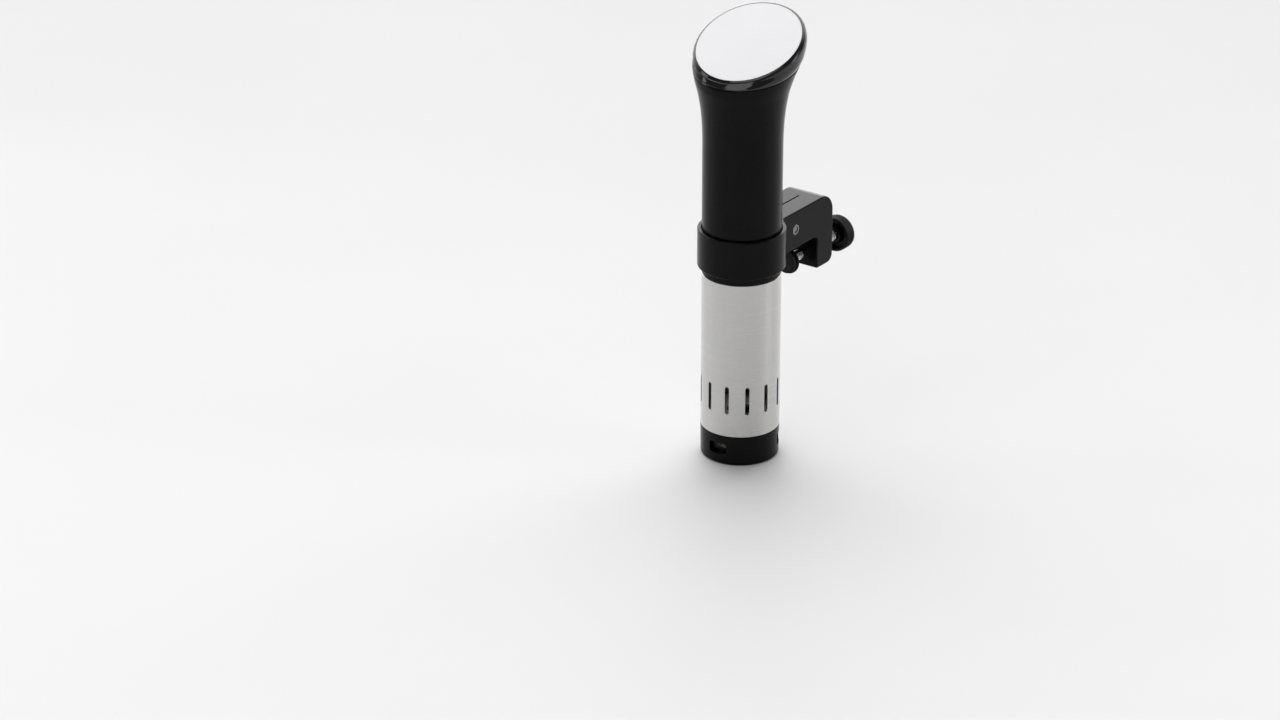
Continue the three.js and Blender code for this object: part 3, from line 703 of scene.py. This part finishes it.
def steel_skirt():
    profile = tube_profile(BODY_R - SKIRT_WALL, BODY_R, SKIRT_BOTTOM, SKIRT_TOP, 0.25)
    shell = moved(revolved("skirt", profile), turn(180 / ROUND, "Z"))  # no facet's edge meets a slot's end
    half, low, high, count = 1.5, 41, 59, 12
    arc = [math.pi * i / 10 for i in range(11)]
    outline = [(half * math.cos(a), high + half * math.sin(a)) for a in arc]
    outline += [(-half * math.cos(a), low - half * math.sin(a)) for a in arc]
    slots = [
        moved(prism("slot", outline, 24, 31), turn(90, "X"), turn(360 / count * (i + 0.5), "Z"))
        for i in range(count)
    ]
    skirt = bevelled(cut(shell, *slots), 0.2, 2)
    piece(skirt, "housing", "stainless", "steel_skirt")


def bottom_cap():
    profile = rounded(
        [
            (0, 0),
            (BODY_R - 0.2, 0, 1.6),
            (BODY_R, CAP_TOP, 0.4),
            (NECK_R, CAP_TOP),
            (NECK_R, NECK_TOP, 0.5),
            (NECK_INNER_R, NECK_TOP, 0.5),
            (NECK_INNER_R, 20),
            (CAP_INNER_R, 18),
            (CAP_INNER_R, CAP_FLOOR, 1),
            (0, CAP_FLOOR),
        ]
    )
    cap = revolved("cap", profile)
    outlets = [
        moved(bevelled(block((20, 31), (-7, 7), (7.5, 16)), 1.6, 5), turn(angle, "Z"))
        for angle in (-90, 30, 150)
    ]
    drains = [
        moved(rod(1.6, -1, CAP_FLOOR + 1, COARSE), shift(18), turn(60 * i, "Z")) for i in range(6)
    ]
    piece(bevelled(cut(cap, *outlets, *drains), 0.3, 2), "cap", "satin_black", "bottom_cap")


def cord_gland():
    low, high = GLAND_Y
    profile = rounded(
        [
            (CORD_R, low, 0.3),
            (GLAND_FLANGE_R, low, 0.3),
            (GLAND_FLANGE_R, low + 1.8, 0.3),
            (GLAND_STEM_R, low + 1.8),
            (GLAND_STEM_R, 28.9),
            (GLAND_FLANGE_R, 28.9, 0.3),
            (GLAND_FLANGE_R, high - 0.8, 0.6),
            (5.2, high, 0.4),
            (CORD_R, high, 0.6),
        ],
        closed=True,
    )
    gland = moved(revolved("gland", profile, FINE), along_y(GLAND_Z))
    piece(gland, "housing", "rubber", "cord_gland")


# Clamp
def clamp_plan():
    """The bracket seen from above: ring, concave fillets and arm."""
    centre_x = ARM_HALF + ARM_FILLET_R
    reach = RING_OUTER_R + ARM_FILLET_R
    centre_y = math.sqrt(reach**2 - centre_x**2)
    to_ring = math.atan2(centre_y, centre_x)
    steps = 12
    right = []
    for i in range(steps + 1):
        angle = math.pi + to_ring * (1 - i / steps)
        x = centre_x + ARM_FILLET_R * math.cos(angle)
        y = centre_y + ARM_FILLET_R * math.sin(angle)
        right.append((x, y))
    ring = []
    sweep = math.pi + 2 * to_ring
    for i in range(1, ROUND):
        angle = math.pi - to_ring + sweep * i / ROUND
        ring.append((RING_OUTER_R * math.cos(angle), RING_OUTER_R * math.sin(angle)))
    left = [(-x, y) for x, y in reversed(right)]
    end = LEG_OUTER_Y + 5  # past the leg, where clamp_side cuts it off
    return [(ARM_HALF, end), (-ARM_HALF, end), *left, *ring, *right]


def clamp_side():
    """The bracket seen from the side, as (along the arm, up)."""
    under = RING_TOP - RING_H
    return rounded(
        [
            (-45, under),
            (LEG_INNER_Y, under, THROAT_R),
            (LEG_INNER_Y, LEG_FOOT, 1.2),
            (LEG_OUTER_Y, LEG_FOOT, LEG_TOE_R),
            (LEG_OUTER_Y, RING_TOP, ARM_CORNER_R),
            (-45, RING_TOP),
        ],
        12,
        closed=True,
    )


def clamp_bore():
    """The space inside the ring: a plain bore with a lip at each end, which leads in."""
    low = RING_TOP - RING_H
    return revolved(
        "bore",
        [
            (0, low - 2),
            (RING_LIP_R + 0.8, low - 1),
            (RING_LIP_R, low + 0.5),
            (RING_LIP_R, low + RING_LIP_T),
            (RING_BORE_R, low + RING_LIP_T),
            (RING_BORE_R, RING_TOP - RING_LIP_T),
            (RING_LIP_R, RING_TOP - RING_LIP_T),
            (RING_LIP_R, RING_TOP - 0.5),
            (RING_LIP_R + 0.8, RING_TOP + 1),
            (0, RING_TOP + 2),
        ],
    )


def clamp_bracket():
    body = prism("bracket", clamp_plan(), LEG_FOOT - 3, RING_TOP + 3)
    side = moved(prism("side", clamp_side(), -40, 40), turn(90, "X"), turn(90, "Z"))
    body = bevelled(boolean(body, [side], "INTERSECT"), 0.9, 4, 40)
    slit_z = (RING_TOP - RING_H - 1, RING_TOP + 1)
    across = along_x(PINCH_Y, PINCH_Z)
    nut_pocket = prism("pocket", hexagon(NUT_FLATS + 2 * GAP), NUT_POCKET_X, 20)
    cutters = [
        clamp_bore(),
        block((-SLIT_W / 2, SLIT_W / 2), (20, SLIT_END_Y), slit_z),
        moved(rod(PINCH_R + GAP, -20, 20, COARSE), across),
        moved(nut_pocket, across),
        moved(rod(PINCH_HEAD_R + 0.4, -20, HEAD_POCKET_X), across),
        moved(rod(SCREW_R + GAP, 60, 100), along_y(SCREW_Z)),
        moved(rod(INSERT_R + GAP, 80, 100), along_y(SCREW_Z)),
    ]
    piece(bevelled(cut(body, *cutters), 0.22, 2, 50), "clamp", "satin_black", "clamp_bracket")


def clamp_liner():
    low, high = corners("clamp_liner")[0].z, corners("clamp_liner")[1].z
    sleeve = revolved("liner", tube_profile(*LINER_R, low, high, 0.2))
    slit = block((-1, 1), (20, 35), (low - 1, high + 1))
    piece(cut(sleeve, slit), "liner", "rubber", "clamp_liner")


def pinch_bolt():
    low, high = BOLT_X
    neck = low + 3.1
    profile = rounded(
        [
            (0, low),
            (PINCH_HEAD_R, low, 0.5),
            (PINCH_HEAD_R, neck, 0.2),
            (PINCH_R, neck),
            (PINCH_R, high, 0.5),
            (0, high),
        ]
    )
    socket = prism("socket", hexagon(3), low - 1, low + 1.9)
    bolt = moved(cut(revolved("bolt", profile, FINE), socket), along_x(PINCH_Y, PINCH_Z))
    piece(bolt, "clamp", "plated_steel", "pinch_bolt")


def pinch_nut():
    """A hex nut with its corners turned off."""
    low, high = NUT_X
    over = high + 0.05
    cone = [(0, low - 1), (5, low), (5, high - 0.6), (NUT_FLATS / 2 - 0.1, over), (0, over)]
    nut = prism("nut", hexagon(NUT_FLATS), low, high)
    nut = boolean(nut, [revolved("chamfer", cone, FINE)], "INTERSECT")
    nut = cut(nut, rod(PINCH_R + GAP, low - 1, high + 1, COARSE))
    piece(moved(nut, along_x(PINCH_Y, PINCH_Z)), "clamp", "plated_steel", "pinch_nut")


def thread_insert():
    profile = tube_profile(SCREW_R + GAP, INSERT_R, *INSERT_Y, 0.4)
    insert = moved(revolved("insert", profile, FINE), along_y(SCREW_Z))
    piece(insert, "clamp", "brass", "thread_insert")


def plain_ring(r, z):
    return [(x, y, z) for x, y in circle(r, SCREW_FACETS)]


def clamp_screw():
    """A round-crested thread from the pad's neck to the knob."""
    low, high = SCREW_Y
    neck = low + 3.6
    thread_end = KNOB_Y[0] - 0.5
    crest = SCREW_R - 0.05
    rings_per_pitch, run_out, depth = 10, 1.5, 0.45
    thread = []
    for i in range(round((thread_end - neck) / THREAD_PITCH * rings_per_pitch)):
        z = neck + i * THREAD_PITCH / rings_per_pitch
        fade = min(1, (z - neck) / run_out, (thread_end - z) / run_out)
        outside = crest if z > neck + 0.9 else SCREW_R - 0.9 + (z - neck)
        ring = []
        for j in range(SCREW_FACETS):
            angle = 2 * math.pi * j / SCREW_FACETS
            phase = 2 * math.pi * z / THREAD_PITCH - angle
            r = outside - depth * fade * (0.5 - 0.5 * math.cos(phase)) ** 0.8
            ring.append((r * math.cos(angle), r * math.sin(angle), z))
        thread.append(ring)
    foot = [plain_ring(2.4, low), plain_ring(2.8, low + 0.4), plain_ring(2.8, neck - 0.1)]
    end = [
        plain_ring(crest, thread_end + 0.1),
        plain_ring(crest, high - 0.3),
        plain_ring(SCREW_R - 0.4, high),
    ]
    screw = lofted("screw", [*foot, *thread, *end], closed=False)
    piece(moved(screw, along_y(SCREW_Z)), "screw", "stainless", "clamp_screw")


def dense(profile, step):
    """A profile with points added so that none are further apart than step."""
    found = [profile[0]]
    for start, end in zip(profile, profile[1:]):
        count = max(1, math.ceil((Vector(end) - Vector(start)).length / step))
        found += [tuple(Vector(start).lerp(Vector(end), i / count)) for i in range(1, count + 1)]
    return found


def knob_ribs(angle, r, z):
    """The change of radius that cuts grooves in the rim, and none further in."""
    depth = 0.45
    on_rim = max(0.0, min(1.0, (r - 11.6) / 0.9))
    return -depth * on_rim * (0.5 + 0.5 * math.cos(KNOB_RIBS * angle))


def clamp_knob():
    """A ribbed wheel with a hollow inner face round a hub."""
    inner, outer = KNOB_Y
    socket = inner + 6.4
    profile = rounded(
        [
            (0, socket),
            (SCREW_R + GAP, socket),
            (SCREW_R + GAP, inner - 0.2, 0.3),
            (6.2, inner - 0.2, 0.9),
            (6.6, inner + 4.6, 1.2),
            (10.2, inner + 4.6, 1.2),
            (10.8, inner, 0.5),
            (KNOB_R, inner, 0.9),
            (KNOB_R, outer, 1.4),
            (9, outer - 0.1, 1),
            (7.5, outer - 0.8, 1),
            (0, outer - 0.8),
        ],
        6,
    )
    knob = revolved("knob", dense(profile, 1.2), KNOB_RIBS * 8, knob_ribs)
    piece(moved(knob, along_y(SCREW_Z)), "screw", "satin_black", "clamp_knob", sharp=50)


def pressure_pad():
    """The swivelling cup."""
    front, back = PAD_Y
    cup = rounded(
        [
            (0, front + 1.7),
            (PAD_R - 0.6, front + 1.7, 0.4),
            (PAD_R, front + 2.6, 0.4),
            (PAD_R, front + 4, 0.8),
            (6.5, back, 0.6),
            (3.2, back, 0.3),
            (3.2, front + 3.4),
            (0, front + 3.4),
        ]
    )
    cup = moved(revolved("pad_cup", cup, FINE), along_y(SCREW_Z))
    piece(cup, "pad", "satin_black", "pressure_pad")


def pad_facing():
    """The rubber disc in the cup, with three round grooves."""
    front = PAD_Y[0]
    back, floor_y = front + 1.4, front + 0.35
    grooves = []
    for r in (2.6, 4.8, 7.0):
        grooves += [(r - 0.4, front), (r - 0.2, floor_y), (r + 0.2, floor_y), (r + 0.4, front)]
    radius = PAD_R - 1
    profile = rounded([(0, front), *grooves, (radius, front, 0.4), (radius, back, 0.2), (0, back)])
    facing = moved(revolved("pad_rubber", profile, FINE), along_y(SCREW_Z))
    piece(facing, "pad", "rubber", "pad_facing")


def paint_frame():
    """Gives each CAD node that still shows its material slot's look."""
    for row in frame["record"]["subparts"]:
        node = frame["nodes"][row["node"]]
        node.data.materials.clear()
        node.data.materials.append(LOOKS[row["material_slot"]])
        node.data.shade_smooth()
        node.data.set_sharp_from_angle(angle=math.radians(30))


# Studio, in metres
VIEW_AZIMUTH = 35.91
VIEW_ELEVATION = 24.39
VIEW_DISTANCE = 2.918
VIEW_LENS = 118.1
AIM_LEFT = 0.0708  # from the clamp ring's top to the picture's centre
AIM_BELOW = 0.0927


def sky_direction(azimuth, elevation):
    """The way from the object to azimuth and elevation, in degrees. Azimuth 0 is the display's side."""
    a, e = math.radians(azimuth), math.radians(elevation)
    return Vector((math.sin(a) * math.cos(e), -math.cos(a) * math.cos(e), math.sin(e)))


def camera():
    data = bpy.data.cameras.new("camera")
    data.lens = VIEW_LENS
    data.sensor_width = 36
    cam = bpy.data.objects.new("camera", data)
    bpy.context.scene.collection.objects.link(cam)
    back = sky_direction(VIEW_AZIMUTH, VIEW_ELEVATION)
    right = sky_direction(VIEW_AZIMUTH + 90, 0)
    up = back.cross(right)
    aim = Vector((0, 0, RING_TOP * MM)) - right * AIM_LEFT - up * AIM_BELOW
    cam.location = aim + back * VIEW_DISTANCE
    cam.rotation_euler = (-back).to_track_quat("-Z", "Y").to_euler()
    bpy.context.scene.camera = cam


def floor():
    look = Look("floor", grey(0.72), 0.6)
    look.color_from(look.noise(3, 2), grey(0.71), grey(0.73))
    half = 6000
    outline = [(-half, -half, 0), (half, -half, 0), (half, half, 0), (-half, half, 0)]
    obj = make_mesh("floor", outline, [(0, 1, 2, 3)])
    obj.data.materials.append(look.material)


def area_light(name, power, size, azimuth, elevation, distance):
    """A soft box that faces the middle of the object from azimuth and elevation, in degrees."""
    data = bpy.data.lights.new(name, "AREA")
    data.shape = "RECTANGLE"
    data.size, data.size_y = size
    data.energy = power
    light = bpy.data.objects.new(name, data)
    back = sky_direction(azimuth, elevation)
    light.location = Vector((0, 0, 0.17)) + back * distance
    light.rotation_euler = (-back).to_track_quat("-Z", "Y").to_euler()
    bpy.context.scene.collection.objects.link(light)


def glowing_world(front, back, azimuth, elevation):
    """A white surround, with strength back toward azimuth and elevation and front away from them."""
    world = bpy.data.worlds.new("studio")
    world.use_nodes = True
    nodes, links = world.node_tree.nodes, world.node_tree.links
    direction = nodes.new("ShaderNodeTexCoord")
    toward = nodes.new("ShaderNodeVectorMath")
    toward.operation = "DOT_PRODUCT"
    toward.inputs[1].default_value = sky_direction(azimuth, elevation)
    fade = nodes.new("ShaderNodeMapRange")
    fade.interpolation_type = "SMOOTHSTEP"
    fade.inputs["From Min"].default_value = 0.35
    fade.inputs["From Max"].default_value = 0.95
    fade.inputs["To Min"].default_value = front
    fade.inputs["To Max"].default_value = back
    links.new(direction.outputs["Generated"], toward.inputs[0])
    links.new(toward.outputs["Value"], fade.inputs["Value"])
    links.new(fade.outputs["Result"], nodes["Background"].inputs["Strength"])
    nodes["Background"].inputs["Color"].default_value = (1, 1, 1, 1)
    bpy.context.scene.world = world


def studio():
    glowing_world(0.16, 3.2, 216, 20)
    bpy.context.scene.view_settings.view_transform = "Standard"
    area_light("key", 10.5, (1.5, 1.5), 0, 58, 2.0)
    area_light("right_strip", 2.5, (0.3, 1.2), 118, 12, 1.4)
    area_light("left_strip", 2, (0.3, 1.2), -62, 12, 1.4)


camera()
paint_frame()
upper_housing()
head_bezel()
display_lens()
steel_skirt()
bottom_cap()
cord_gland()
clamp_bracket()
clamp_liner()
pinch_bolt()
pinch_nut()
thread_insert()
clamp_screw()
clamp_knob()
pressure_pad()
pad_facing()
floor()
studio()
